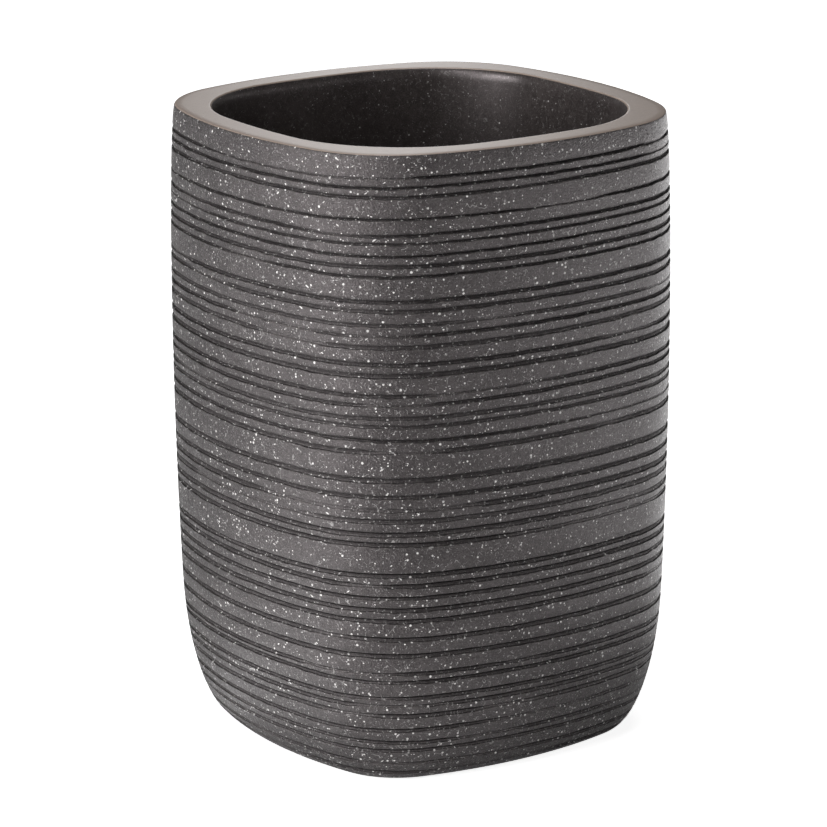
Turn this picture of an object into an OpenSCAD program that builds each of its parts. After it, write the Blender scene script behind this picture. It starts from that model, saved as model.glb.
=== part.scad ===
// Square bathroom tumbler with rounded corners, cast in one piece and ringed by carved grooves.
// It stands on four round pads. The middle of the pads' faces is the origin, and +Z points up.

/* [Body] */
// Height of the casting, from its foot to its rim
body_h = 104; // [92:0.5:130]
// Width from one face to the opposite one at the shoulder, where the casting is widest
body_w = 74; // [66:0.5:90]
// Height of the shoulder above the foot
shoulder_h = 71.5; // [60:0.5:80]
// Radius of each gently bowed face at the shoulder
face_r = 78.5; // [60:0.5:120]
// Radius of each upright corner at the shoulder
corner_r = 20; // [17:0.5:26]
// How far each face leans in from the shoulder down to the foot
lean = 2.2; // [0:0.1:4]
// How far the curve round the foot draws in
foot_in = 6.8; // [3:0.1:8]
// Height of the curve round the foot
foot_round_h = 24; // [12:0.5:30]
// How far each face curves in from the shoulder up to the rim
rim_in = 1.1; // [0.2:0.1:3]

/* [Grooves] */
// Width of the widest grooves
groove_w = 1.1; // [0.6:0.05:1.3]
// Depth of the deepest grooves
groove_depth = 0.5; // [0.2:0.05:0.9]

/* [Rim and cavity] */
// Width of the rim at the middle of a face
rim_w = 5.4; // [3.8:0.1:7]
// Rounding of the outer edge of the rim
rim_edge_r = 0.4; // [0.2:0.05:0.8]
// Rounding of the inner lip of the rim
lip_r = 0.8; // [0.4:0.1:2]
// Radius of each bowed face of the cavity, at the mouth
cavity_face_r = 116; // [80:1:160]
// Radius of each upright corner of the cavity, at the mouth
cavity_corner_r = 21; // [15:0.5:24]
// How far each face of the cavity draws in on its way down to the floor
cavity_draft = 2.5; // [0:0.1:3]
// Thickness of the floor of the casting
floor_t = 8; // [5:0.5:14]
// Rounding where the cavity meets its floor
floor_round_r = 7; // [2:0.5:10]

/* [Underside and pads] */
// Width of the flat ring round the recess in the underside
foot_ring_w = 3; // [1:0.1:4.5]
// Depth of the recess in the underside
recess_depth = 1.2; // [0.4:0.1:1.3]
// How far the recess narrows towards its roof
recess_draft = 0.3; // [0:0.05:0.6]
// Diameter of each pad
pad_d = 9; // [5:0.5:11]
// Thickness of each pad, part of which stands out of the recess
pad_t = 1.7; // [1.5:0.1:3]
// Rounding of the lower edge of each pad
pad_edge_r = 0.3; // [0.1:0.05:0.6]
// Gap between a pad and the corner of the recess
pad_gap = 1.2; // [0.5:0.1:3]

/* [Hidden] */

stone_grey = [0.27, 0.25, 0.25];
pad_black = [0.08, 0.08, 0.08];

// Straight steps along a quarter of the outline: first one bowed face, then one corner
face_steps = 4;
corner_steps = 6;
quarters = 4;
quarter_turn = 90;
ring_points = quarters * (face_steps + corner_steps);
lip_steps = 3;
floor_steps = 5;
rim_edge_steps = 2;
pad_edge_steps = 3;
pad_sides = 64;

// Every groove from the rim down: its place below the rim as a share of body_h, its width as a
// share of groove_w, and its depth as a share of groove_depth. The bare bands between the
// clusters are part of the pattern.
groove_shares = [
    [0.035, 0.70, 1.0], [0.049, 0.70, 1.0], [0.063, 0.80, 1.0],
    [0.098, 0.65, 0.9], [0.121, 0.75, 1.0], [0.134, 0.70, 0.8], [0.152, 0.65, 0.9],
    [0.168, 0.85, 1.0], [0.183, 0.70, 0.9],
    [0.221, 0.85, 1.0], [0.235, 0.90, 0.9], [0.257, 0.85, 0.6], [0.274, 0.80, 1.0],
    [0.290, 0.95, 0.7], [0.317, 0.90, 1.0], [0.334, 1.00, 1.0], [0.366, 0.85, 0.9],
    [0.380, 0.85, 0.9], [0.401, 0.90, 0.6], [0.414, 0.85, 0.6], [0.437, 0.70, 0.8],
    [0.454, 0.95, 0.8],
    [0.498, 1.00, 0.9], [0.525, 0.80, 0.8], [0.545, 1.00, 0.9], [0.563, 0.95, 0.6],
    [0.584, 1.00, 0.8], [0.601, 0.90, 0.9],
    [0.649, 0.90, 1.0], [0.665, 0.90, 1.0], [0.685, 0.70, 0.7], [0.703, 0.90, 1.0],
    [0.721, 0.90, 0.9], [0.751, 0.95, 0.9], [0.778, 0.95, 1.0], [0.808, 0.75, 0.9],
    [0.821, 0.70, 1.0], [0.848, 0.75, 0.8], [0.862, 0.85, 0.8], [0.878, 0.95, 0.8],
    [0.904, 0.75, 0.9], [0.925, 0.70, 0.8], [0.941, 0.70, 0.7], [0.965, 0.80, 0.6],
    [0.983, 0.80, 0.6]
];
// The deepest line of a groove lies above its middle, at this share of its width
groove_rise_share = 0.12;
// Rings on the bare band under the rim, as shares of body_h below the rim
band_shares = [0.012];
// Rings on the tight end of the foot curve, as shares of foot_round_h above the foot
foot_ring_shares = [0.025, 0.011, 0.003, 0];

rim_half_w = body_w / 2 - rim_in;
cavity_half_w = rim_half_w - rim_w;
foot_inset = lean + foot_in;
recess_inset = foot_inset + foot_ring_w + recess_draft;
stand_h = pad_t - recess_depth;

// How far a quarter ellipse has drawn in, at a distance from the end that it closes on
function curve_in(width, height, distance) =
    distance >= height ? 0 : width * (1 - sqrt(1 - pow(1 - distance / height, 2)));

// How far the outer wall lies inside the shoulder's outline, at a height above the foot
function wall_in(height) =
    lean * pow(max(0, 1 - height / shoulder_h), 2)
    + curve_in(foot_in, foot_round_h, height)
    + curve_in(rim_in, body_h - shoulder_h, body_h - height);

// The middles of a rounded square's face arcs and corner arcs lie this far from its centre
function face_centre(half_w, side_r) = side_r - half_w;
function corner_centre(half_w, side_r, turn_r) =
    (sqrt(2 * pow(side_r - turn_r, 2) - pow(face_centre(half_w, side_r), 2))
        - face_centre(half_w, side_r)) / 2;

// Point on an arc about (centre_x, centre_y), turned about the origin to its own quarter
function arc_point(centre_x, centre_y, radius, angle, turn) =
    let (x = centre_x + radius * cos(angle), y = centre_y + radius * sin(angle))
    [x * cos(turn) - y * sin(turn), x * sin(turn) + y * cos(turn)];

// Rounded square of bowed faces, inset all round: the arcs keep their middles and lose radius
function outline(half_w, side_r, turn_r, inset) =
    let (
        face_x = -face_centre(half_w, side_r),
        corner_x = corner_centre(half_w, side_r, turn_r),
        join = atan2(corner_x, corner_x - face_x),
        corner_sweep = quarter_turn - 2 * join
    )
    [for (quarter = [0:quarters - 1])
        let (turn = quarter * quarter_turn)
        each concat(
            [for (i = [0:face_steps - 1])
                arc_point(face_x, 0, side_r - inset, join * (2 * i / face_steps - 1), turn)],
            [for (i = [0:corner_steps - 1])
                arc_point(corner_x, corner_x, turn_r - inset,
                    join + corner_sweep * i / corner_steps, turn)]
        )
    ];

// One closed ring of points at a height: a row of the surface that the body is skinned with
function ring(points, height) = [for (p = points) [p[0], p[1], height]];
function outer_ring(height, cut) =
    ring(outline(body_w / 2, face_r, corner_r, wall_in(height) + cut), height);
function cavity_ring(height, inset) =
    ring(outline(cavity_half_w, cavity_face_r, cavity_corner_r, inset), height);

// The recess in the underside, from its roof down to the flat ring that surrounds it
function underside_rings() = [
    ring(outline(body_w / 2, face_r, corner_r, recess_inset), recess_depth),
    ring(outline(body_w / 2, face_r, corner_r, recess_inset - recess_draft), 0)
];

function foot_rings() =
    [for (i = [len(foot_ring_shares) - 1:-1:0]) outer_ring(foot_ring_shares[i] * foot_round_h, 0)];

// Three rings for each groove, from the lowest groove up: lower edge, deepest line, upper edge
function groove_rings() = [
    for (i = [len(groove_shares) - 1:-1:0])
        let (
            middle = body_h * (1 - groove_shares[i][0]),
            width = groove_w * groove_shares[i][1],
            depth = groove_depth * groove_shares[i][2]
        )
        each [
            outer_ring(middle - width / 2, 0),
            outer_ring(middle + width * groove_rise_share, depth),
            outer_ring(middle + width / 2, 0)
        ]
];

function rim_rings() = concat(
    [for (share = band_shares) outer_ring(body_h * (1 - share), 0)],
    [for (i = [0:rim_edge_steps])
        let (angle = quarter_turn * i / rim_edge_steps)
        ring(outline(body_w / 2, face_r, corner_r,
            wall_in(body_h - rim_edge_r) + rim_edge_r * (1 - cos(angle))),
            body_h - rim_edge_r * (1 - sin(angle)))]
);

function lip_rings() =
    [for (i = [0:lip_steps])
        let (angle = quarter_turn * i / lip_steps)
        cavity_ring(body_h - lip_r * (1 - cos(angle)), -lip_r * (1 - sin(angle)))];

function floor_rings() =
    [for (i = [0:floor_steps])
        let (angle = quarter_turn * i / floor_steps)
        cavity_ring(floor_t + floor_round_r * (1 - sin(angle)),
            cavity_draft + floor_round_r * (1 - cos(angle)))];

// Skin over a stack of rings, closed at both ends. The stack starts at the recess's roof and
// climbs the outside, so it turns inwards over the rim and ends on the floor of the cavity.
module skin(rings) {
    last = len(rings) - 1;
    sides = [
        for (i = [0:last - 1], j = [0:ring_points - 1])
            let (
                a = i * ring_points + j,
                b = i * ring_points + (j + 1) % ring_points,
                c = a + ring_points,
                d = b + ring_points
            )
            each [[a, c, b], [b, c, d]]
    ];
    start_cap = [for (j = [0:ring_points - 1]) j];
    end_cap = [for (j = [ring_points - 1:-1:0]) last * ring_points + j];
    polyhedron(points = [for (r = rings) each r], faces = concat([start_cap], sides, [end_cap]));
}

module tumbler_body() {
    color(stone_grey)
        translate([0, 0, stand_h])
            skin(concat(underside_rings(), foot_rings(), groove_rings(), rim_rings(),
                lip_rings(), floor_rings()));
}

// One pad in a corner of the recess. side is -1 at the left, and end is -1 at the front.
module pad(side, end) {
    corner_reach = (corner_r - recess_inset - pad_gap - pad_d / 2) / sqrt(2);
    place = corner_centre(body_w / 2, face_r, corner_r) + corner_reach;
    color(pad_black)
        translate([side * place, end * place, 0])
            rotate_extrude($fn = pad_sides)
                polygon(concat(
                    [[0, 0]],
                    [for (i = [0:pad_edge_steps])
                        let (angle = quarter_turn * i / pad_edge_steps)
                        [pad_d / 2 - pad_edge_r * (1 - sin(angle)),
                            pad_edge_r * (1 - cos(angle))]],
                    [[pad_d / 2, pad_t], [0, pad_t]]
                ));
}

tumbler_body();
pad(-1, -1);  // pad_front_left
pad(1, -1);  // pad_front_right
pad(-1, 1);  // pad_back_left
pad(1, 1);  // pad_back_right
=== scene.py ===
"""Bathroom tumbler of cast stone resin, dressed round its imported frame. Lengths are in metres."""

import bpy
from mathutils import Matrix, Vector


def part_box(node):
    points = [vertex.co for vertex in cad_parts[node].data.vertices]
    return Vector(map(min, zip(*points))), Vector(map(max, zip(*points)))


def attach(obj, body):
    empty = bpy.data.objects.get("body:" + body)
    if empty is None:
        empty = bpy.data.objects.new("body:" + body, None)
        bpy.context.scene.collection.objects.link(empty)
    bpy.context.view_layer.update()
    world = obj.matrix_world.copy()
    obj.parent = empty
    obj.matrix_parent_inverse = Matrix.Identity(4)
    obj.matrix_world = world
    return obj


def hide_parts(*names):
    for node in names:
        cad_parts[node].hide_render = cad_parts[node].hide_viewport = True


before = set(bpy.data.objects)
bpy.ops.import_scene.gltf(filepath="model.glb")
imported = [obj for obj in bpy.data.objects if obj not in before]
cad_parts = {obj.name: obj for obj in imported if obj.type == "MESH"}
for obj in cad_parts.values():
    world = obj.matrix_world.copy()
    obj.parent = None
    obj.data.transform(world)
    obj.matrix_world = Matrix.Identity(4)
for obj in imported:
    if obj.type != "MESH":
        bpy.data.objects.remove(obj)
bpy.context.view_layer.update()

import logging
import math
from dataclasses import dataclass, field, fields
from enum import IntEnum
from functools import partial, reduce
from typing import Any, Optional, Sequence, Union

import bpy
import numpy as np
from mathutils import Matrix, Vector

LOG = logging.getLogger("tumbler")
MM = 0.001
PER_MM = 1 / MM
ROOT = "root"
FAR = 9 * MM
QUARTER_TURN = 90.0
NOISE_MIDDLE = 0.5
WHITE = (1.0, 1.0, 1.0, 1.0)

Array = np.ndarray
Socket = bpy.types.NodeSocket
Feed = Union[float, Sequence[float], Socket]
Colour = tuple[float, float, float]
Column = Union[Array, float]

# Every groove from the rim down: its place below the rim, its width and its depth, as shares
# of the casting's height, of the widest groove and of the deepest one
GROOVE_SHARES = (
    (0.035, 0.70, 1.0), (0.049, 0.70, 1.0), (0.063, 0.80, 1.0),
    (0.098, 0.65, 0.9), (0.121, 0.75, 1.0), (0.134, 0.70, 0.8), (0.152, 0.65, 0.9),
    (0.168, 0.85, 1.0), (0.183, 0.70, 0.9),
    (0.221, 0.85, 1.0), (0.235, 0.90, 0.9), (0.257, 0.85, 0.6), (0.274, 0.80, 1.0),
    (0.290, 0.95, 0.7), (0.317, 0.90, 1.0), (0.334, 1.00, 1.0), (0.366, 0.85, 0.9),
    (0.380, 0.85, 0.9), (0.401, 0.90, 0.6), (0.414, 0.85, 0.6), (0.437, 0.70, 0.8),
    (0.454, 0.95, 0.8),
    (0.498, 1.00, 0.9), (0.525, 0.80, 0.8), (0.545, 1.00, 0.9), (0.563, 0.95, 0.6),
    (0.584, 1.00, 0.8), (0.601, 0.90, 0.9),
    (0.649, 0.90, 1.0), (0.665, 0.90, 1.0), (0.685, 0.70, 0.7), (0.703, 0.90, 1.0),
    (0.721, 0.90, 0.9), (0.751, 0.95, 0.9), (0.778, 0.95, 1.0), (0.808, 0.75, 0.9),
    (0.821, 0.70, 1.0), (0.848, 0.75, 0.8), (0.862, 0.85, 0.8), (0.878, 0.95, 0.8),
    (0.904, 0.75, 0.9), (0.925, 0.70, 0.8), (0.941, 0.70, 0.7), (0.965, 0.80, 0.6),
    (0.983, 0.80, 0.6),
)


class Zone(IntEnum):
    """Parts of the casting's surface that are finished apart, each with its own material."""

    UNDERSIDE = 0
    CARVED = 1
    RIM = 2
    CAVITY = 3


def around(azimuth: float, elevation: float = 0.0) -> Vector:
    """Unit vector towards a place round the tumbler: azimuth 0 is at -Y and 90 at +X.

    Args:
        azimuth: In degrees.
        elevation: In degrees.

    Returns:
        The vector from the middle outwards.
    """
    turn, rise = math.radians(azimuth), math.radians(elevation)
    return Vector((math.sin(turn) * math.cos(rise), -math.cos(turn) * math.cos(rise),
                   math.sin(rise)))


def aimed(place: Vector, target: Vector) -> Matrix:
    """Returns the pose of a lamp or camera that stands at a place and looks at a target."""
    turn = (target - place).to_track_quat("-Z", "Y").to_matrix().to_4x4()
    return Matrix.Translation(place) @ turn


def placed(name: str, data: Any) -> bpy.types.Object:
    """Puts a mesh, a lamp or a camera into the scene.

    Args:
        name: Name of the object.
        data: The mesh, lamp or camera.

    Returns:
        The object.
    """
    made = bpy.data.objects.new(name, data)
    bpy.context.scene.collection.objects.link(made)
    return made


def quarter_round(steps: int) -> tuple[Array, Array]:
    """Steps at even angles along a quarter circle of radius 1.

    Args:
        steps: Number of points.

    Returns:
        One less the sine of each angle, and one less its cosine.
    """
    angle = np.linspace(0, math.pi / 2, steps)
    return 1 - np.sin(angle), 1 - np.cos(angle)


class NodeSheet:
    """A node tree, with short ways to add nodes and to feed their sockets."""

    def __init__(self, tree: bpy.types.NodeTree) -> None:
        """Takes the tree to be filled.

        Args:
            tree: A material's tree or a node group.
        """
        self.tree = tree

    def feed(self, socket: Socket, value: Feed) -> None:
        """Links a socket to an output, or sets a plain value on it.

        Args:
            socket: The input to feed.
            value: An output socket, a number or a colour.
        """
        if isinstance(value, bpy.types.NodeSocket):
            self.tree.links.new(value, socket)
        else:
            socket.default_value = value

    def node(self, kind: str, feeds: Optional[dict] = None, **settings: Any) -> bpy.types.Node:
        """Adds a node.

        Args:
            kind: Blender's name of the node type.
            feeds: What to feed each input, by the input's name or number.
            **settings: The node's own settings.

        Returns:
            The new node.
        """
        new = self.tree.nodes.new(kind)
        for name, value in settings.items():
            setattr(new, name, value)
        for name, value in (feeds or {}).items():
            self.feed(new.inputs[name], value)
        return new

    def math(self, operation: str, first: Feed, second: Feed = 0.0) -> Socket:
        """Adds a sum of two numbers and returns its output."""
        return self.node("ShaderNodeMath", {0: first, 1: second}, operation=operation).outputs[0]

    def product(self, *values: Feed) -> Socket:
        """Multiplies numbers, from the first to the last, and returns the output."""
        return reduce(partial(self.math, "MULTIPLY"), values)

    def total(self, *values: Feed) -> Socket:
        """Adds numbers up, from the first to the last, and returns the output."""
        return reduce(partial(self.math, "ADD"), values)

    def vector(self, operation: str, first: Feed, second: Feed) -> Socket:
        """Adds a sum of two vectors and returns its output."""
        new = self.node("ShaderNodeVectorMath", {0: first, 1: second}, operation=operation)
        return new.outputs[0]

    def scaled(self, vector: Feed, factor: Feed) -> Socket:
        """Scales a vector by a number and returns the output."""
        new = self.node("ShaderNodeVectorMath", {0: vector, "Scale": factor}, operation="SCALE")
        return new.outputs[0]

    def toward(self, way: Socket, azimuth: float) -> Socket:
        """Compares a way with the level one towards an azimuth.

        Args:
            way: A unit vector.
            azimuth: In degrees.

        Returns:
            The cosine of the angle between them.
        """
        feeds = {0: way, 1: around(azimuth)}
        new = self.node("ShaderNodeVectorMath", feeds, operation="DOT_PRODUCT")
        return new.outputs["Value"]

    def smooth(self, value: Feed, low: Feed, high: Feed) -> Socket:
        """Adds a soft step, by the cubic that is level at both ends.

        Args:
            value: The value to judge.
            low: Where the step gives 0.
            high: Where the step gives 1. It may lie below the other.

        Returns:
            The step's output.
        """
        feeds = {"Value": value, "From Min": low, "From Max": high}
        new = self.node("ShaderNodeMapRange", feeds, interpolation_type="SMOOTHSTEP")
        return new.outputs["Result"]

    def span(self, value: Feed, low: Feed, high: Feed) -> Socket:
        """Stretches a share from 0 to 1 over the span from low to high."""
        feeds = {"Value": value, "To Min": low, "To Max": high}
        return self.node("ShaderNodeMapRange", feeds).outputs["Result"]

    def blend(self, share: Feed, low: Feed, high: Feed, blend_type: str = "MIX") -> Socket:
        """Blends two colours.

        Args:
            share: How much of the second colour shows.
            low: The first colour.
            high: The second colour.
            blend_type: How the second colour acts on the first.

        Returns:
            The blended colour.
        """
        new = self.node("ShaderNodeMix", data_type="RGBA", blend_type=blend_type)
        for name, value in (("Factor_Float", share), ("A_Color", low), ("B_Color", high)):
            self.feed(next(s for s in new.inputs if s.identifier == name), value)
        return next(s for s in new.outputs if s.identifier == "Result_Color")

    def noise(self, vector: Feed, size: Feed, detail: float, roughness: float = 0.5) -> Socket:
        """Adds noise with lumps of a given size.

        Args:
            vector: Coordinates.
            size: Size of the lumps, in the coordinates' unit.
            detail: How many times finer noise is added.
            roughness: How strong each finer noise is.

        Returns:
            The noise's value, around NOISE_MIDDLE.
        """
        linked = isinstance(size, bpy.types.NodeSocket)
        scale = self.math("DIVIDE", 1.0, size) if linked else 1 / size
        feeds = {"Vector": vector, "Scale": scale, "Detail": detail, "Roughness": roughness}
        return self.node("ShaderNodeTexNoise", feeds).outputs["Fac"]

    def bump(self, height: Socket, depth: float, normal: Optional[Socket] = None) -> Socket:
        """Tilts a normal by the slope of a height.

        Args:
            height: The height, as a share.
            depth: What a height of 1 stands for, in metres.
            normal: The normal before it, or none for the surface's own.

        Returns:
            The tilted normal.
        """
        feeds = {"Height": height, "Distance": depth, "Strength": 1.0}
        if normal is not None:
            feeds["Normal"] = normal
        return self.node("ShaderNodeBump", feeds).outputs[0]

    def object_mm(self) -> Socket:
        """Returns the piece's own coordinates, in millimetres."""
        return self.scaled(self.node("ShaderNodeTexCoord").outputs["Object"], PER_MM)

    def attribute(self, name: str) -> Socket:
        """Returns a value that the mesh carries at its points."""
        return self.node("ShaderNodeAttribute", attribute_name=name).outputs["Fac"]


def colour(value: Colour) -> tuple[float, float, float, float]:
    """Returns a colour with a solid alpha, as a node socket takes it."""
    return (*value, 1.0)


def blank_material(name: str) -> tuple[bpy.types.Material, NodeSheet, Any]:
    """Makes a material that holds one Principled BSDF.

    Args:
        name: Name of the material.

    Returns:
        The material, its sheet and the shader's inputs.
    """
    made = bpy.data.materials.new(name)
    made.use_nodes = True
    return made, NodeSheet(made.node_tree), made.node_tree.nodes["Principled BSDF"].inputs


class EffectGroup:
    """A shader node group that several finishes place with their own values."""

    name = "effect"
    takes: dict[str, float] = {}
    gives: tuple[str, ...] = ("Mask",)

    def tree(self) -> bpy.types.NodeTree:
        """Builds the group once and returns it.

        Returns:
            The node group, with a Vector input, the named numbers and the named outputs.
        """
        known = bpy.data.node_groups.get(self.name)
        if known:
            return known
        tree = bpy.data.node_groups.new(self.name, "ShaderNodeTree")
        tree.interface.new_socket("Vector", in_out="INPUT", socket_type="NodeSocketVector")
        for name, default in self.takes.items():
            made = tree.interface.new_socket(name, in_out="INPUT", socket_type="NodeSocketFloat")
            made.default_value = default
        for name in self.gives:
            tree.interface.new_socket(name, in_out="OUTPUT", socket_type="NodeSocketFloat")
        sheet = NodeSheet(tree)
        inside = sheet.node("NodeGroupInput").outputs
        outside = sheet.node("NodeGroupOutput")
        for name, value in self.fill(sheet, inside).items():
            sheet.feed(outside.inputs[name], value)
        return tree

    def fill(self, sheet: NodeSheet, given: Any) -> dict[str, Socket]:
        """Draws the effect inside its group.

        Args:
            sheet: The group's tree.
            given: The group's input values, by name.

        Returns:
            What each output gives, by name.
        """
        raise NotImplementedError

    def place(self, sheet: NodeSheet, vector: Socket, **values: float) -> dict[str, Socket]:
        """Places the group in a material.

        Args:
            sheet: The material's tree.
            vector: Coordinates in millimetres.
            **values: The group's numbers, by name.

        Returns:
            The group's outputs, by name.
        """
        new = sheet.node("ShaderNodeGroup")
        new.node_tree = self.tree()
        sheet.feed(new.inputs["Vector"], vector)
        for name, value in values.items():
            sheet.feed(new.inputs[name], value)
        return {name: new.outputs[name] for name in self.gives}


class PaleFlecks(EffectGroup):
    """Chips of pale stone cut through by the surface, one at most in each cell of space."""

    name = "pale_flecks"
    takes = {"Cell": 1.0, "Radius": 0.2, "Share": 0.3, "Ragged": 0.15}
    gives = ("Mask", "Tone")
    fray_scale = 4.0
    small_power = 2.0
    smallest_share = 0.5
    solid_share = 0.82

    def fill(self, sheet: NodeSheet, given: Any) -> dict[str, Socket]:
        """A chip shows where the way to its cell's middle, frayed by noise, is under its radius.

        Args:
            sheet: The group's tree.
            given: The group's input values, by name.

        Returns:
            The chips' mask, and a tone of its own for each chip.
        """
        ragged = sheet.node("ShaderNodeTexNoise", {
            "Vector": given["Vector"], "Scale": self.fray_scale, "Detail": 2.0})
        fray = sheet.vector("SUBTRACT", ragged.outputs["Color"], (NOISE_MIDDLE,) * 3)
        place = sheet.vector("ADD", given["Vector"], sheet.scaled(fray, given["Ragged"]))
        cells = sheet.node("ShaderNodeTexVoronoi", {
            "Vector": place, "Scale": sheet.math("DIVIDE", 1.0, given["Cell"])}).outputs
        chance = sheet.node("ShaderNodeSeparateColor", {"Color": cells["Color"]}).outputs
        reach = sheet.product(cells["Distance"], given["Cell"])
        size = sheet.math("POWER", chance[1], self.small_power)
        radius = sheet.product(given["Radius"], sheet.span(size, self.smallest_share, 1.0))
        shape = sheet.smooth(reach, radius, sheet.product(radius, self.solid_share))
        present = sheet.math("LESS_THAN", chance[0], given["Share"])
        return {"Mask": sheet.product(shape, present), "Tone": chance[2]}


class HairStrokes(EffectGroup):
    """Thin curved strokes, like fibres in the casting: short bits of the noise's level lines."""

    name = "hair_strokes"
    takes = {"Size": 1.6, "Width": 0.02, "Share": 0.6}
    patch_share = 0.45
    patch_shift = (31.0, 17.0, 5.0)
    patch_edge = 0.03

    def fill(self, sheet: NodeSheet, given: Any) -> dict[str, Socket]:
        """A stroke is where noise is near its middle and a second noise is high.

        Args:
            sheet: The group's tree.
            given: The group's input values, by name.

        Returns:
            The strokes' mask.
        """
        lines = sheet.noise(given["Vector"], given["Size"], detail=1.0)
        away = sheet.math("ABSOLUTE", sheet.math("SUBTRACT", lines, NOISE_MIDDLE))
        thin = sheet.smooth(away, given["Width"], 0.0)
        patches = sheet.noise(sheet.vector("ADD", given["Vector"], self.patch_shift),
                              sheet.product(given["Size"], self.patch_share), detail=0.0)
        top = sheet.total(given["Share"], self.patch_edge)
        return {"Mask": sheet.product(thin, sheet.smooth(patches, given["Share"], top))}


class StoneMottle(EffectGroup):
    """Cloudy tone of filled resin: slow clouds, middling blotches and fine powder."""

    name = "stone_mottle"
    takes = {"Cloud": 9.0, "Blotch": 1.1, "Powder": 0.22}
    gives = ("Tone",)
    # Each noise's weight in the tone, its detail and its roughness
    mix = {"Cloud": (0.20, 2.0, 0.5), "Blotch": (0.30, 3.0, 0.6), "Powder": (0.50, 1.0, 0.5)}

    def fill(self, sheet: NodeSheet, given: Any) -> dict[str, Socket]:
        """Weighted sum of three noises, around their middle.

        Args:
            sheet: The group's tree.
            given: The group's input values, by name.

        Returns:
            The tone.
        """
        return {"Tone": sheet.total(*[
            sheet.product(sheet.noise(given["Vector"], given[name], detail, roughness), weight)
            for name, (weight, detail, roughness) in self.mix.items()])}


class FineGrain(EffectGroup):
    """Height of a surface's fine grain: powdery grit with pin holes here and there."""

    name = "fine_grain"
    takes = {"Grit": 0.14, "Pin holes": 0.3}
    gives = ("Height",)
    holes_per_mm = 0.9
    hole_reach = (0.10, 0.04)

    def fill(self, sheet: NodeSheet, given: Any) -> dict[str, Socket]:
        """Noise for the grit, less a round dip at the middle of some cells for the holes.

        Args:
            sheet: The group's tree.
            given: The group's input values, by name.

        Returns:
            The height, as a share.
        """
        grit = sheet.noise(given["Vector"], given["Grit"], detail=3.0, roughness=0.6)
        cells = sheet.node("ShaderNodeTexVoronoi", {
            "Vector": given["Vector"], "Scale": self.holes_per_mm})
        dip = sheet.smooth(cells.outputs["Distance"], *self.hole_reach)
        return {"Height": sheet.math("SUBTRACT", grit, sheet.product(dip, given["Pin holes"]))}


class CarvedStreaks(EffectGroup):
    """Streaks that a graver leaves along its way round the casting: noise drawn out level."""

    name = "carved_streaks"
    takes = {"Length": 7.0, "Pitch": 0.16}
    gives = ("Height",)

    def fill(self, sheet: NodeSheet, given: Any) -> dict[str, Socket]:
        """Noise whose vector is shortened along X and Y by the length and along Z by the pitch.

        Args:
            sheet: The group's tree.
            given: The group's input values, by name.

        Returns:
            The height, as a share.
        """
        parts = sheet.node("ShaderNodeSeparateXYZ", {"Vector": given["Vector"]}).outputs
        sizes = (given["Length"], given["Length"], given["Pitch"])
        place = sheet.node("ShaderNodeCombineXYZ", {
            axis: sheet.math("DIVIDE", parts[axis], size) for axis, size in enumerate(sizes)})
        return {"Height": sheet.noise(place.outputs[0], size=1.0, detail=2.0)}


@dataclass(frozen=True)
class FleckLayer:
    """One size of pale flecks.

    Attributes:
        cell: Size of the cells of space that hold a fleck each, in millimetres.
        radius: Radius of the largest flecks, in millimetres.
        share: Share of the cells that hold one.
        strength: How far a fleck covers the resin.
        stretch: Factors that draw the flecks out along their own X, Y and Z.
        turn: Turn of the flecks' own axes about X, Y and Z, in radians.
    """

    cell: float
    radius: float
    share: float
    strength: float
    stretch: tuple[float, float, float] = (1.0, 1.0, 1.0)
    turn: tuple[float, float, float] = (0.0, 0.0, 0.0)


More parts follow.
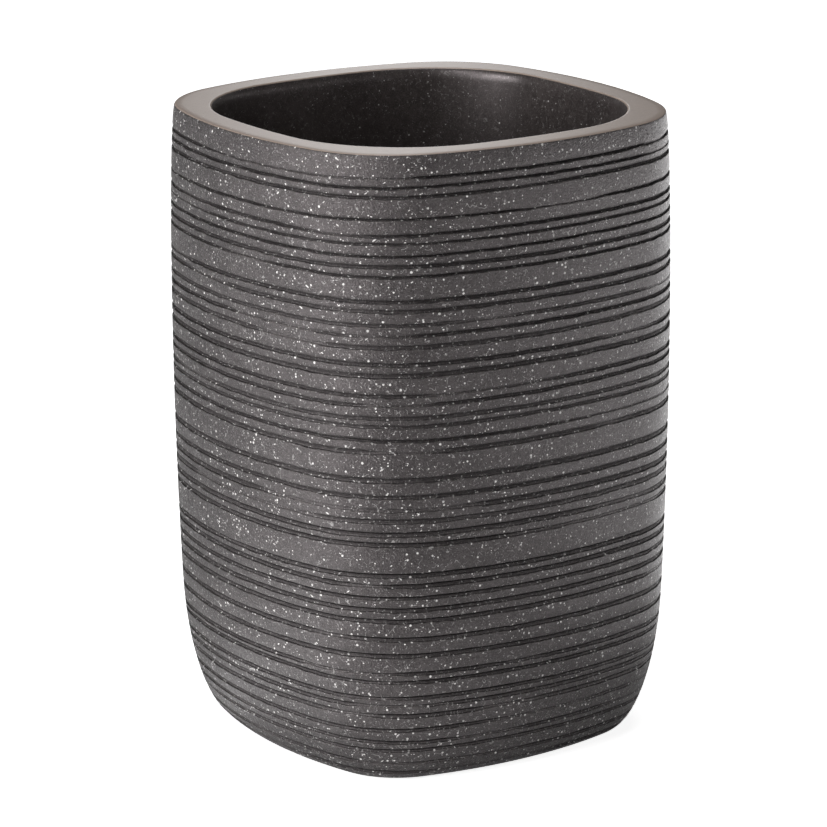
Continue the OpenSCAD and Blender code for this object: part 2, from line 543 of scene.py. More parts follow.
@dataclass(frozen=True)
class StoneFinish:
    """Finish of filled resin: a mottled dark stone with pale flecks, strokes and grain.

    Attributes:
        name: Name of the material.
        dark: Colour of the darkest resin.
        light: Colour of the lightest resin.
        fleck: Colour of the pale flecks.
        layers: The sizes of fleck.
        hair_strength: How far the thin strokes cover the resin.
        rough_low: Roughness of the smoothest spots.
        rough_high: Roughness of the roughest spots.
        grain: Depth of the fine grain, in metres.
        grit: Size of the grain's lumps, in millimetres.
        tint: Colour of the plain reflection.
        streaks: Depth of the streaks that the tool leaves, in metres.
        streak_turn: Turn of the streaks about X, Y and Z, in radians. They lie level at none.
        pin_holes: Depth of the pin holes, as a share of the grain's.
        groove_painted_shade: Factor on the colour inside a groove, which paints shade into it.
        groove_rough: How much rougher a groove is than the land beside it.
        slot_painted_shade: Further factor on the colour in the deep slot under a groove's upper
            lip, which paints shade there.
        crevice_rough: How much rougher that slot is than the rest of its groove.
        lip_highlight_reach: Reach of the paler painted highlight along a groove's lower lip, in
            millimetres.
        painted_lip_highlight: Colour of that painted highlight.
        lip_round: Reach of the rounding at a groove's lips, in millimetres.
        specular: Strength of the plain reflection.
    """

    name: str
    dark: Colour
    light: Colour
    fleck: Colour = (0.94, 0.92, 0.90)
    layers: tuple[FleckLayer, ...] = ()
    hair_strength: float = 0.0
    rough_low: float = 0.40
    rough_high: float = 0.55
    grain: float = 0.02 * MM
    grit: float = 0.14
    tint: Colour = (1.0, 1.0, 1.0)
    streaks: float = 0.0
    streak_turn: tuple[float, float, float] = (0.0, 0.0, 0.0)
    pin_holes: float = 0.2
    # Factors on the colour that paint shade into a groove and, more strongly, into its slot
    groove_painted_shade: float = 1.0
    groove_rough: float = 0.0
    slot_painted_shade: float = 1.0
    crevice_rough: float = 0.0
    lip_highlight_reach: float = 0.0
    painted_lip_highlight: Colour = (0.30, 0.28, 0.26)
    lip_round: float = 0.0
    specular: float = 0.5

    # Values of a noise or an attribute between which an effect comes in, and sizes of noise in
    # millimetres. Each kind of hair stroke has its size, its width and its own place.
    MOTTLE = (0.41, 0.59)
    UNEVEN = (0.35, 0.65)
    UNEVEN_SIZE = 0.6
    FRAY = 0.3
    FRAY_SIZE = 0.3
    # Where the painted shade of a groove and of its slot comes in, by their attributes
    FRAYED = {"groove": (0.08, 0.35), "slot": (0.40, 0.80)}
    # The painted highlight on the lower lips: where its patches come in, their size and their cover
    PAINTED_LIP_SPAN = (0.42, 0.62)
    WORN_SIZE = 1.2
    PAINTED_LIP_COVER = 0.5
    LEAST_FLECK_TONE = 0.7
    HAIRS = ((1.6, 0.020, 0.0), (0.8, 0.030, 40.0))

    def flecked(self, sheet: NodeSheet, place: Socket, base: Socket) -> Socket:
        """Lays the flecks and strokes over the resin's colour.

        Args:
            sheet: The material's tree.
            place: Coordinates in millimetres.
            base: The resin's colour.

        Returns:
            The colour with its flecks.
        """
        cover: Feed = 0.0
        for layer in self.layers:
            spot = sheet.node("ShaderNodeMapping", {
                "Vector": place, "Rotation": layer.turn, "Scale": layer.stretch},
                vector_type="TEXTURE").outputs[0]
            flecks = PaleFlecks().place(sheet, spot, Cell=layer.cell, Radius=layer.radius,
                                        Share=layer.share)
            strength = sheet.product(sheet.span(flecks["Tone"], self.LEAST_FLECK_TONE, 1.0),
                                     layer.strength)
            cover = sheet.math("MAXIMUM", cover, sheet.product(flecks["Mask"], strength))
        for size, width, side in self.HAIRS if self.hair_strength else ():
            spot = sheet.vector("ADD", place, (side, side, side))
            strokes = HairStrokes().place(sheet, spot, Size=size, Width=width)["Mask"]
            cover = sheet.math("MAXIMUM", cover, sheet.product(strokes, self.hair_strength))
        return sheet.blend(cover, base, colour(self.fleck))

    def carved(self, sheet: NodeSheet, place: Socket, shown: Socket,
               rough: Socket) -> tuple[Socket, Socket]:
        """Paints shade in the grooves, roughens them and paints a highlight on their lower lips.

        Args:
            sheet: The material's tree.
            place: Coordinates in millimetres.
            shown: The flecked colour.
            rough: The roughness of the land.

        Returns:
            The colour and the roughness.
        """
        fray = sheet.math("SUBTRACT", sheet.noise(place, self.FRAY_SIZE, detail=2.0),
                          NOISE_MIDDLE)
        fray = sheet.product(fray, self.FRAY)
        groove, slot = (sheet.smooth(sheet.total(sheet.attribute(name), fray), *ends)
                        for name, ends in self.FRAYED.items())
        # Painted shade: the colour darkens inside each groove, and more in its slot
        shade = sheet.product(sheet.span(groove, 1.0, self.groove_painted_shade),
                              sheet.span(slot, 1.0, self.slot_painted_shade))
        grey = sheet.node("ShaderNodeCombineColor", dict.fromkeys(range(3), shade)).outputs[0]
        # Painted highlight: a paler, patchy line along each groove's lower lip, where a lit lip
        # edge would be
        lip = sheet.smooth(sheet.math("ABSOLUTE", sheet.attribute("above")), self.lip_highlight_reach, 0.0)
        patches = sheet.smooth(sheet.noise(place, self.WORN_SIZE, detail=3.0), *self.PAINTED_LIP_SPAN)
        painted_lip_highlight = sheet.product(lip, patches, self.PAINTED_LIP_COVER)
        shown = sheet.blend(painted_lip_highlight, shown, colour(self.painted_lip_highlight))
        return (sheet.blend(1.0, shown, grey, "MULTIPLY"),
                sheet.total(rough, sheet.product(groove, self.groove_rough),
                            sheet.product(slot, self.crevice_rough)))

    def relief(self, sheet: NodeSheet, place: Socket) -> Socket:
        """Tilts the normal by the fine grain, the round of the lips and the tool's streaks.

        Args:
            sheet: The material's tree.
            place: Coordinates in millimetres.

        Returns:
            The normal.
        """
        grain = FineGrain().place(sheet, place, Grit=self.grit, **{"Pin holes": self.pin_holes})
        normal = sheet.bump(grain["Height"], self.grain)
        if self.lip_round:
            step = sheet.smooth(sheet.attribute("above"), -self.lip_round, self.lip_round)
            normal = sheet.bump(step, self.lip_round * MM, normal)
        if self.streaks:
            turned = sheet.node("ShaderNodeMapping", {
                "Vector": place, "Rotation": self.streak_turn}).outputs[0]
            lines = CarvedStreaks().place(sheet, turned)["Height"]
            normal = sheet.bump(lines, self.streaks, normal)
        return normal

    def material(self) -> bpy.types.Material:
        """Makes the finish.

        Returns:
            A material with a Principled BSDF fed by the effects.
        """
        made, sheet, inputs = blank_material(self.name)
        place = sheet.object_mm()
        tone = sheet.smooth(StoneMottle().place(sheet, place)["Tone"], *self.MOTTLE)
        resin = sheet.blend(tone, colour(self.dark), colour(self.light))
        shown = self.flecked(sheet, place, resin)
        uneven = sheet.noise(place, self.UNEVEN_SIZE, detail=4.0, roughness=0.7)
        rough = sheet.span(sheet.smooth(uneven, *self.UNEVEN), self.rough_low, self.rough_high)
        # Only a finish with painted shade in its slots gets the grooves' painted shade and lip
        # highlight
        if self.slot_painted_shade < 1.0:
            shown, rough = self.carved(sheet, place, shown, rough)
        sheet.feed(inputs["Base Color"], shown)
        sheet.feed(inputs["Roughness"], rough)
        sheet.feed(inputs["Specular IOR Level"], self.specular)
        sheet.feed(inputs["Specular Tint"], colour(self.tint))
        sheet.feed(inputs["Normal"], self.relief(sheet, place))
        return made


@dataclass(frozen=True)
class RubberFinish:
    """Finish of the pads: dark rubber with fine grit and paler scuffed spots.

    Attributes:
        name: Name of the material.
        deep: Colour of the clean rubber.
        scuffed: Colour of the scuffed spots.
        roughness: Roughness of the clean rubber and of the scuffed spots.
        grain: Depth of the grit, in metres.
        grit: Size of the grit, in millimetres.
        cloud: Size of the slow clouds of scuffs, in millimetres.
        blotch: Size of the scuffed spots, in millimetres.
        scuff_span: Tones of the mottle between which the scuffs come in.
    """

    name: str = "pad_rubber"
    deep: Colour = (0.018, 0.018, 0.019)
    scuffed: Colour = (0.050, 0.049, 0.048)
    roughness: tuple[float, float] = (0.62, 0.82)
    grain: float = 0.03 * MM
    grit: float = 0.22
    cloud: float = 3.0
    blotch: float = 0.7
    scuff_span: tuple[float, float] = (0.42, 0.66)

    def material(self) -> bpy.types.Material:
        """Makes the finish.

        Returns:
            A material with a Principled BSDF fed by the shared effects.
        """
        made, sheet, inputs = blank_material(self.name)
        place = sheet.object_mm()
        mottle = StoneMottle().place(sheet, place, Cloud=self.cloud, Blotch=self.blotch)
        scuffs = sheet.smooth(mottle["Tone"], *self.scuff_span)
        sheet.feed(inputs["Base Color"],
                   sheet.blend(scuffs, colour(self.deep), colour(self.scuffed)))
        sheet.feed(inputs["Roughness"], sheet.span(scuffs, *self.roughness))
        height = FineGrain().place(sheet, place, Grit=self.grit)["Height"]
        sheet.feed(inputs["Normal"], sheet.bump(height, self.grain))
        return made


@dataclass(frozen=True)
class RoundedSquare:
    """Outline of four bowed faces and four round corners, run round from the face at +X.

    Attributes:
        half_width: From the centre to the middle of a face.
        face_radius: Radius of a bowed face.
        corner_radius: Radius of a corner.
        steps: Steps along a face and round a corner.
    """

    half_width: float
    face_radius: float
    corner_radius: float
    steps: tuple[int, int]

    @property
    def corner_centre(self) -> float:
        """Distance along X and Y to a corner's centre, where both arcs share a tangent."""
        offset = self.face_radius - self.half_width
        reach = self.face_radius - self.corner_radius
        return (math.sqrt(2 * reach**2 - offset**2) - offset) / 2

    def points(self) -> tuple[Array, Array]:
        """Points and outward directions round the outline.

        A face's point is its centre, (half width - face radius, 0), plus the face radius along
        an even run of angles up to the join. A corner's point is its own centre plus the corner
        radius along the angles from that join to the next face's. The quarter is then turned
        by 90 degrees three times.

        Returns:
            Two arrays of one row a column: the point, and the unit vector out of the outline.
        """
        centre = self.corner_centre
        face_x = self.half_width - self.face_radius
        join = math.atan2(centre, centre - face_x)
        face = np.linspace(-join, join, self.steps[0], endpoint=False)
        corner = np.linspace(join, math.pi / 2 - join, self.steps[1], endpoint=False)
        angle = np.concatenate([face, corner])
        radius = np.repeat([self.face_radius, self.corner_radius], self.steps)
        middle = np.repeat([[face_x, 0.0], [centre, centre]], self.steps, axis=0)
        outward = np.stack([np.cos(angle), np.sin(angle)], axis=1)
        quarter = middle + radius[:, None] * outward
        turns = [np.array([[math.cos(t), math.sin(t)], [-math.sin(t), math.cos(t)]])
                 for t in np.arange(4) * math.pi / 2]
        return (np.concatenate([quarter @ t for t in turns]),
                np.concatenate([outward @ t for t in turns]))


def surface_mesh(name: str, grid: Array, closed_ends: Sequence) -> bpy.types.Mesh:
    """Makes a closed mesh of a grid of points whose columns run round and whose rows run along.

    Args:
        name: Name of the mesh.
        grid: Points, as rows by columns by 3, with the outside on the right of rising rows.
        closed_ends: The point that closes the first row, and the one that closes the last.

    Returns:
        The mesh, with quads row by row, then the two fans.
    """
    rows, columns = grid.shape[:2]
    index = np.arange(rows * columns).reshape(rows, columns)
    after = np.roll(index, -1, axis=1)
    quads = np.stack([index[:-1], after[:-1], after[1:], index[1:]], axis=2).reshape(-1, 4)
    start, end = rows * columns, rows * columns + 1
    first = np.stack([after[0], index[0], np.full(columns, start)], axis=1)
    last = np.stack([index[-1], after[-1], np.full(columns, end)], axis=1)
    points = np.concatenate([grid.reshape(-1, 3), closed_ends])
    mesh = bpy.data.meshes.new(name)
    mesh.from_pydata(points.tolist(), [], quads.tolist() + first.tolist() + last.tolist())
    mesh.polygons.foreach_set("use_smooth", np.ones(len(mesh.polygons), dtype=bool))
    return mesh


def point_values(mesh: bpy.types.Mesh, name: str, values: Array) -> None:
    """Stores one number at each point of a mesh, for its material to read.

    Args:
        mesh: The mesh.
        name: Name of the attribute.
        values: Numbers of the grid's points. The two closing points get 0.
    """
    full = np.zeros(len(mesh.vertices), dtype=np.float32)
    full[:values.size] = values.ravel()
    mesh.attributes.new(name, "FLOAT", "POINT").data.foreach_set("value", full)


def sharpen_rows(mesh: bpy.types.Mesh, columns: int, rows: Array) -> None:
    """Marks the edges that run along some rows as sharp, so that shading breaks there.

    Args:
        mesh: A mesh of surface_mesh.
        columns: Number of columns of its grid.
        rows: Numbers of the rows.
    """
    ends = np.empty(len(mesh.edges) * 2, dtype=np.int32)
    mesh.edges.foreach_get("vertices", ends)
    row = ends.reshape(-1, 2) // columns
    along = (row[:, 0] == row[:, 1]) & np.isin(row[:, 0], rows)
    mesh.attributes.new("sharp_edge", "BOOLEAN", "EDGE").data.foreach_set("value", along)


@dataclass(frozen=True)
class HandWander:
    """How far a carver's hand strays from a level line, as waves round the casting.

    Attributes:
        seed: Start of the random draws.
        slow: Size of a groove's slow sway, in metres.
        fine: Size of the unevenness of each upper lip, in metres.
        ragged: Size of the unevenness of each lower lip, in metres.
        slow_waves: Fewest and most slow waves in one turn.
        fine_waves: The same for the fine and the ragged waves.
        fade_waves: The same for the waves of the depth.
        fade_start: Height of the depth's wave, as a share of its size, where a groove fades.
        fade_least: Share of the depth that is left in a faded stretch.
        narrow_least: Share of the width that would be left at no depth.
        tilt: How far a ring at the rim is out of level, in metres.
        tilt_turn: Where the rings lie highest, in turns from the face at +X.
        tilt_span: The tilt at the foot and at the rim, as shares.
    """

    seed: int = 7
    slow: float = 0.06 * MM
    fine: float = 0.018 * MM
    ragged: float = 0.034 * MM
    slow_waves: tuple[int, int] = (1, 6)
    fine_waves: tuple[int, int] = (18, 76)
    fade_waves: tuple[int, int] = (1, 9)
    fade_start: float = 0.6
    fade_least: float = 0.30
    narrow_least: float = 0.45
    tilt: float = 0.27 * MM
    tilt_turn: float = 0.01
    tilt_span: tuple[float, float] = (-0.5, 1.0)

    def tilted(self, columns: int) -> Array:
        """Tilt of all grooves: a cosine round the casting, turning over towards the foot.

        Args:
            columns: Points round each groove.

        Returns:
            How far each point lies above its level, as grooves by columns, lowest first.
        """
        place = 1 - np.array(GROOVE_SHARES[::-1])[:, :1]
        share = self.tilt_span[0] + (self.tilt_span[1] - self.tilt_span[0]) * place
        turn = np.linspace(0, 1, columns, endpoint=False) - self.tilt_turn
        return self.tilt * share * np.cos(2 * math.pi * turn)

    def series(self, draws: np.random.Generator, count: int, columns: int, size: float,
               waves: tuple[int, int]) -> Array:
        """Random waves that close on themselves: a sum of cosines with random phases.

        Args:
            draws: Source of the random phases.
            count: Number of lines.
            columns: Points round each line.
            size: Root mean square of a line's sway.
            waves: Fewest and most waves in one turn.

        Returns:
            An array of lines by columns.
        """
        turns = np.arange(waves[0], waves[1] + 1)
        weight = 1 / np.sqrt(turns)
        weight *= size / np.sqrt((weight**2).sum() / 2)
        phase = draws.uniform(0, 2 * math.pi, (count, len(turns), 1))
        angle = np.linspace(0, 2 * math.pi, columns, endpoint=False)
        return (weight[:, None] * np.cos(turns[:, None] * angle + phase)).sum(axis=1)

    def lines(self, count: int, columns: int) -> dict[str, Array]:
        """Strays of all grooves.

        Args:
            count: Number of grooves.
            columns: Points round each.

        Returns:
            Sway of the middle, of the upper lip and of the lower lip in metres, and the shares
            of the depth and the width that are left, each as grooves by columns.
        """
        draws = np.random.default_rng(self.seed)
        middle, upper, lower, wave = (
            self.series(draws, count, columns, size, waves) for size, waves in (
                (self.slow, self.slow_waves), (self.fine, self.fine_waves),
                (self.ragged, self.fine_waves), (1.0, self.fade_waves)))
        fade = np.clip(wave - self.fade_start, 0, 1)
        deep = 1 - (1 - self.fade_least) * fade**2 * (3 - 2 * fade)
        return {"middle": middle + self.tilted(columns), "upper": upper, "lower": lower,
                "deep": deep, "wide": self.narrow_least + (1 - self.narrow_least) * deep}


@dataclass
class Rows:
    """Rows of the casting's surface, from the underside up the outside and down the cavity.

    A value that is the same for all rows may be given once.

    Attributes:
        height: Height above the casting's foot.
        inset: Distance inside the row's own outline.
        zone: Zone of the band that follows the row.
        inner: Whether the row follows the cavity's outline.
        shrink: Factor on the row about the axis.
        groove: Number of the row's groove, or -1.
        reach: Height above the middle of the row's groove.
        lip: Share by which the row follows the upper lip, from 0 at the lower one.
        cut: Depth of the row in its groove, as a share.
        slot: How far the row lies in its groove's slot, where shade is painted, as a share.
        sharp: Whether shading breaks at the row.
        above: Distance up to the lip that ends the row's land, or FAR where none is near.
            It is negative on a groove's floor.
    """

    height: Column
    inset: Column
    zone: Column
    inner: Column = False
    shrink: Column = 1.0
    groove: Column = -1
    reach: Column = 0.0
    lip: Column = 0.0
    cut: Column = 0.0
    slot: Column = 0.0
    sharp: Column = False
    above: Column = FAR

    def __post_init__(self) -> None:
        """Gives every row each of its values."""
        names = [part.name for part in fields(self)]
        values = np.broadcast_arrays(*[np.atleast_1d(getattr(self, name)) for name in names])
        for name, value in zip(names, values):
            setattr(self, name, value.copy())

    @classmethod
    def join(cls, runs: Sequence["Rows"]) -> "Rows":
        """Joins runs of rows, in their order, into one."""
        return cls(*[np.concatenate([getattr(run, part.name) for run in runs])
                     for part in fields(cls)])


@dataclass
class TumblerBody:
    """The casting: carved walls, ground rim, cavity and underside, as one closed surface.

    The height and the width come from the frame. The other sizes are the casting's own.
    """

    shoulder_height: float = 71.5 * MM
    face_radius: float = 78.5 * MM
    corner_radius: float = 20.0 * MM
    lean: float = 2.2 * MM
    foot_in: float = 6.8 * MM
    foot_round_height: float = 24.0 * MM
    rim_in: float = 1.1 * MM
    groove_width: float = 1.1 * MM
    groove_depth: float = 0.5 * MM
    rim_width: float = 5.4 * MM
    rim_edge_radius: float = 0.4 * MM
    lip_height: float = 2.2 * MM
    lip_width: float = 0.7 * MM
    lip_apron: float = 0.15 * MM
    band_reach: tuple[float, float] = (2.2 * MM, 0.7 * MM)
    cavity_face_radius: float = 116.0 * MM
    cavity_corner_radius: float = 22.0 * MM
    cavity_draft: float = 2.5 * MM
    floor_thickness: float = 8.0 * MM
    floor_round_radius: float = 7.0 * MM
    foot_ring_width: float = 3.0 * MM
    foot_ring_edge: float = 0.3 * MM
    recess_depth: float = 1.2 * MM
    recess_draft: float = 0.3 * MM
    recess_edge: float = 0.25 * MM
    wide_land: float = 2.2 * MM
    steps: tuple[int, int] = (41, 31)
    edge_rows: int = 5
    ring_rows: int = 3
    foot_steps: int = 9
    band_rows: int = 4
    carved_edge_rows: int = 2
    flat_rows: int = 3
    lip_rows: int = 9
    ground_lip_rows: int = 2
    wall_rows: int = 4
    disc_shares: tuple[float, ...] = (0.1, 0.3, 0.5, 0.7, 0.9)
    # Section of a groove from its lower lip up, near the foot and near the rim. Each row has
    # its place, its depth and how far it lies in the slot, where shade is painted, as shares.
    # The places of the floor's rows are shares of the width, and the others of the slope's reach.
    foot_section: tuple = ((-0.50, 0.0, 0.0), (-0.42, 0.48, 0.4), (0.02, 0.80, 0.8),
                           (0.22, 1.8, 1.0), (0.64, 0.30, 0.8), (1.0, 0.0, 0.0))
    rim_section: tuple = ((-0.50, 0.0, 0.0), (-0.46, 0.80, 0.4), (0.08, 1.2, 0.9),
                          (0.27, 0.45, 0.6), (0.60, 0.14, 0.0), (1.0, 0.0, 0.0))
    floor_rows: int = 3
    # Heights between which the foot's section turns into the rim's, as shares of the casting's
    section_span: tuple[float, float] = (0.30, 0.62)
    slope_reach: tuple[float, float] = (0.38 * MM, 0.80 * MM)
    climb_share: float = 0.6
    # How fast a groove near the rim loses its floor as it gets narrower than the widest one
    floor_loss: float = 1.6
    wander: HandWander = field(default_factory=HandWander)
    node: str = "tumbler_body"

    def __post_init__(self) -> None:
        """Reads the casting's box from the frame."""
        low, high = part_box(self.node)
        self.stand = low[2]
        self.height = high[2] - low[2]
        self.half_width = (high[0] - low[0]) / 2

    @staticmethod
    def curve_in(width: float, height: float, distance: Array) -> Array:
        """How far a quarter ellipse has drawn in, at a distance from the end it closes on."""
        share = np.clip(1 - distance / height, 0, 1)
        return width * (1 - np.sqrt(1 - share**2))

    def wall_in(self, height: Array) -> Array:
        """How far the outer wall lies inside the shoulder's outline.

        It is the lean times the square of the share of the way down from the shoulder, plus a
        quarter ellipse that closes on the foot, plus one that closes on the rim.

        Args:
            height: Heights above the foot.

        Returns:
            The insets.
        """
        lean = self.lean * np.clip(1 - height / self.shoulder_height, 0, None)**2
        foot = self.curve_in(self.foot_in, self.foot_round_height, height)
        rim = self.curve_in(self.rim_in, self.height - self.shoulder_height,
                            self.height - height)
        return lean + foot + rim

    def underside_rows(self) -> Rows:
        """Rows from the middle of the recess's roof out to the foot.

        Returns:
            The rows.
        """
        foot = float(self.wall_in(np.array(0.0)))
        edge = foot + self.foot_ring_width
        roof = edge + self.recess_draft
        sine_left, cosine_left = quarter_round(self.edge_rows)
        ring = np.linspace(edge - 2 * self.recess_edge, foot + self.foot_ring_edge,
                           self.ring_rows)
        return Rows.join([
            Rows(self.recess_depth, roof, Zone.UNDERSIDE, shrink=self.disc_shares),
            Rows(self.recess_depth - self.recess_edge * cosine_left,
                 roof + self.recess_edge * sine_left, Zone.UNDERSIDE),
            Rows(self.recess_edge * sine_left, edge - self.recess_edge * cosine_left,
                 Zone.UNDERSIDE),
            Rows(0.0, ring, Zone.UNDERSIDE)])

    def foot_rows(self, top: float) -> Rows:
        """Rows up the tight end of the foot's curve, even along the ellipse.

        Args:
            top: Height of the lowest groove's lower lip.

        Returns:
            The rows.
        """
        turn = math.acos(1 - top / self.foot_round_height)
        angle = np.linspace(0, turn, self.foot_steps, endpoint=False)
        height = self.foot_round_height * (1 - np.cos(angle))
        return Rows(height, self.wall_in(height), Zone.CARVED)

    def groove_rows(self) -> Rows:
        """Rows of all grooves, from the lowest one up, with a row amid each wide land.

        A groove drops from its lower lip to a floor, and rises from the core by a slope that
        turns into the land above it, where its last row is. Its section is the foot's plus a
        share of the way to the rim's.

        Returns:
            The rows.
        """
        table = np.array(GROOVE_SHARES[::-1])
        place, wide, deep = 1 - table[:, 0], table[:, 1], table[:, 2]
        middle = self.height * place
        low_end, high_end = self.section_span
        high = np.clip((place - low_end) / (high_end - low_end), 0, 1)
        first, last = np.array(self.foot_section), np.array(self.rim_section)
        section = first + (last - first) * high[:, None, None]
        keep = 1 - self.floor_loss * high * (1 - wide)
        span = np.where(section[:, :, 0] < 0, keep[:, None], 1.0)
        span *= self.groove_width * wide[:, None]
        above = np.append((middle + section[:, 0, 0] * span[:, 0])[1:], self.height)
        slope = self.slope_reach[0] + high * (self.slope_reach[1] - self.slope_reach[0])
        climb = np.minimum(slope, self.climb_share * (above - middle))
        span[:, self.floor_rows:] = climb[:, None]
        reach = section[:, :, 0] * span
        height = middle[:, None] + reach
        up = above[:, None] - height
        up[:, :self.floor_rows] = -self.groove_depth
        up[:, 0] = 0.0
        lip = np.linspace(0, 1, section.shape[1])
        sharp = np.arange(section.shape[1]) <= self.floor_rows
        runs = []
        for number, own in enumerate(height):
            runs.append(Rows(own, self.wall_in(own), Zone.CARVED, groove=number,
                             reach=reach[number], lip=lip,
                             cut=deep[number] * section[number, :, 1],
                             slot=section[number, :, 2], sharp=sharp, above=up[number]))
            land = above[number] - own[-1]
            if self.wide_land < land and above[number] < self.height:
                amid = own[-1] + land / 2
                runs.append(Rows(amid, self.wall_in(amid), Zone.CARVED, above=land / 2))
        return Rows.join(runs)

    def rim_rows(self) -> Rows:
        """Rows over the band under the rim, round its edge and over its flat to the lip.

        Returns:
            The rows.
        """
        edge = self.rim_edge_radius
        wall = float(self.wall_in(np.array(self.height - edge)))
        band = self.height - np.linspace(*self.band_reach, self.band_rows)
        sine_left, cosine_left = quarter_round(self.edge_rows)
        rounding = Rows(self.height - edge * sine_left, wall + edge * cosine_left, Zone.RIM)
        rounding.zone[:self.carved_edge_rows] = Zone.CARVED
        flat_end = self.half_width - self.cavity_half_width - self.lip_width
        flat = np.linspace(wall + edge, flat_end, self.flat_rows + 2)[1:-1]
        return Rows.join([Rows(band, self.wall_in(band), Zone.CARVED), rounding,
                          Rows(self.height, flat, Zone.RIM)])

    def cavity_rows(self) -> Rows:
        """Rows round the lip's ellipse, down the cavity's walls and over its floor.

        Returns:
            The rows.
        """
        sine_left, cosine_left = quarter_round(self.lip_rows)
        lip = Rows(self.height - self.lip_height * cosine_left, -self.lip_width * sine_left,
                   Zone.RIM, inner=True)
        lip.zone[self.ground_lip_rows:] = Zone.CAVITY
        down = np.linspace(0, 1, self.wall_rows + 2)[1:-1]
        high = self.height - self.lip_height
        low = self.floor_thickness + self.floor_round_radius
        return Rows.join([
            Rows(self.height, -self.lip_width - self.lip_apron, Zone.RIM, inner=True), lip,
            Rows(high + (low - high) * down, self.cavity_draft * down, Zone.CAVITY, inner=True),
            Rows(self.floor_thickness + self.floor_round_radius * sine_left,
                 self.cavity_draft + self.floor_round_radius * cosine_left, Zone.CAVITY,
                 inner=True),
            Rows(self.floor_thickness, self.cavity_draft + self.floor_round_radius,
                 Zone.CAVITY, inner=True, shrink=self.disc_shares[::-1])])

    @property
    def cavity_half_width(self) -> float:
        """From the axis to the middle of a cavity wall, at the rim."""
        return self.half_width - self.rim_in - self.rim_width

    def grid(self, rows: Rows) -> tuple[Array, Array, Array]:
        """Places every row's points.

        A point is its column's point on the row's outline, less the inset along the outward
        direction there. In a groove the height strays with the carver's hand and the inset
        takes the cut's depth.

        Args:
            rows: The rows.

        Returns:
            The points as rows by columns by 3, then each point's share of the full cut and of
            its groove's slot, where shade is painted.
        """
        shapes = [RoundedSquare(self.half_width, self.face_radius, self.corner_radius,
                                self.steps),
                  RoundedSquare(self.cavity_half_width, self.cavity_face_radius,
                                self.cavity_corner_radius, self.steps)]
        base, outward = (np.stack(pair) for pair in zip(*[s.points() for s in shapes]))
        carved, number = rows.groove[:, None] >= 0, np.maximum(rows.groove, 0)
        lines = self.wander.lines(len(GROOVE_SHARES), base.shape[1])
        hand = {name: line[number] for name, line in lines.items()}
        lip, reach = rows.lip[:, None], rows.reach[:, None]
        sway = (hand["middle"] + lip * hand["upper"] + (1 - lip) * hand["lower"] -
                (1 - hand["wide"]) * reach)
        height = rows.height[:, None] + np.where(carved, sway, 0.0)
        cut, slot = (share[:, None] * hand["deep"] for share in (rows.cut, rows.slot))
        wall = np.where(carved, self.wall_in(height), rows.inset[:, None])
        inset = wall + self.groove_depth * cut
        family = rows.inner.astype(int)
        flat = base[family] - inset[..., None] * outward[family]
        flat *= rows.shrink[:, None, None]
        return np.concatenate([flat, height[..., None] + self.stand], axis=2), cut, slot

    def build(self) -> bpy.types.Object:
        """Makes the casting's mesh and dresses it.

        Returns:
            The piece, riding on the root body in place of its CAD node.
        """
        grooves = self.groove_rows()
        rows = Rows.join([self.underside_rows(), self.foot_rows(float(grooves.height[0])),
                          grooves, self.rim_rows(), self.cavity_rows()])
        grid, cut, slot = self.grid(rows)
        ends = [[0.0, 0.0, grid[row, 0, 2]] for row in (0, -1)]
        mesh = surface_mesh(self.node, grid, ends)
        columns = grid.shape[1]
        # Shares of the cut and of the slot, which the carved finish reads for its painted shade
        point_values(mesh, "groove", cut)
        point_values(mesh, "slot", slot)
        point_values(mesh, "above", np.repeat(rows.above * PER_MM, columns))
        sharpen_rows(mesh, columns, np.flatnonzero(rows.sharp))
        bands = np.repeat([*rows.zone[:-1], Zone.UNDERSIDE, Zone.CAVITY], columns)
        mesh.polygons.foreach_set("material_index", bands.astype(np.int32))
        for finish in STONE_FINISHES.values():
            mesh.materials.append(finish.material())
        piece = placed("casting", mesh)
        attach(piece, ROOT)
        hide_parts(self.node)
        LOG.info("casting: %d rows by %d columns, %d faces", len(rows.height), columns,
                 len(mesh.polygons))
        return piece


